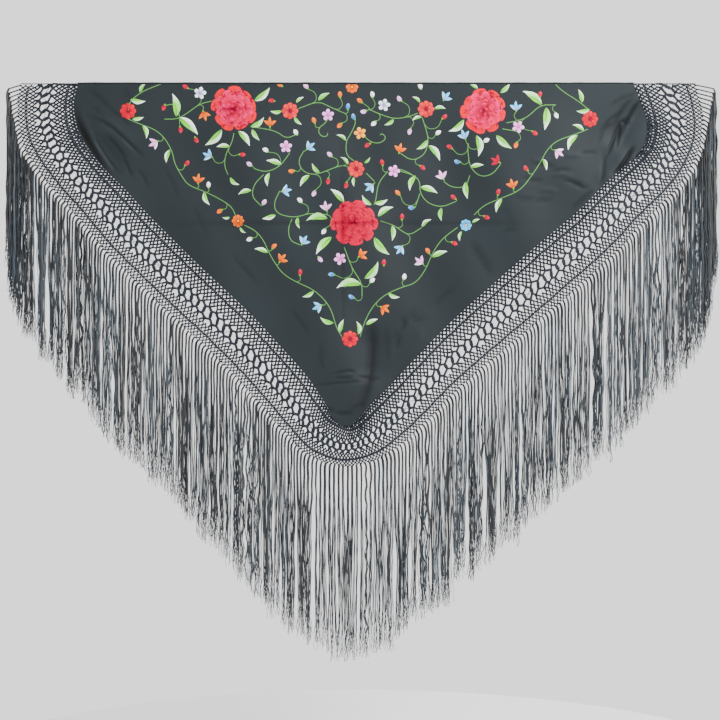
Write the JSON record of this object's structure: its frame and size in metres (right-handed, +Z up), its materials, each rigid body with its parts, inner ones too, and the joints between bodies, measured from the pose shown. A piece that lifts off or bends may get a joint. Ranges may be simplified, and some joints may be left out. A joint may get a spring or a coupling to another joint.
{
  "type": "silk shawl",
  "caption": "Embroidered silk crepe shawl hung by its straight top edge: a triangle of cloth, a knotted net band with open rows and a long silk fringe.",
  "frame": {"origin": "middle of the straight top edge, on the axis of its rolled hem, where the shawl is held up", "axes": "+X along the top edge to the viewer's right, +Y away from the viewer through the cloth, +Z up"},
  "size_m": [1.7784, 0.038, 1.4205],
  "materials": {
    "silk": "charcoal black silk crepe, soft sheen",
    "thread": "black twisted silk thread, slight gloss",
    "embroidery": "glossy floss silk in satin stitch, many colours"
  },
  "bodies": {
    "root": {"silk_cloth": "silk", "top_hem": "silk", "net_band_left": "thread", "net_band_point": "thread", "net_band_right": "thread", "fringe_left_corner": "thread", "fringe_left_side": "thread", "fringe_left_low": "thread", "fringe_right_low": "thread", "fringe_right_side": "thread", "fringe_right_corner": "thread"}
  },
  "joints": []
}
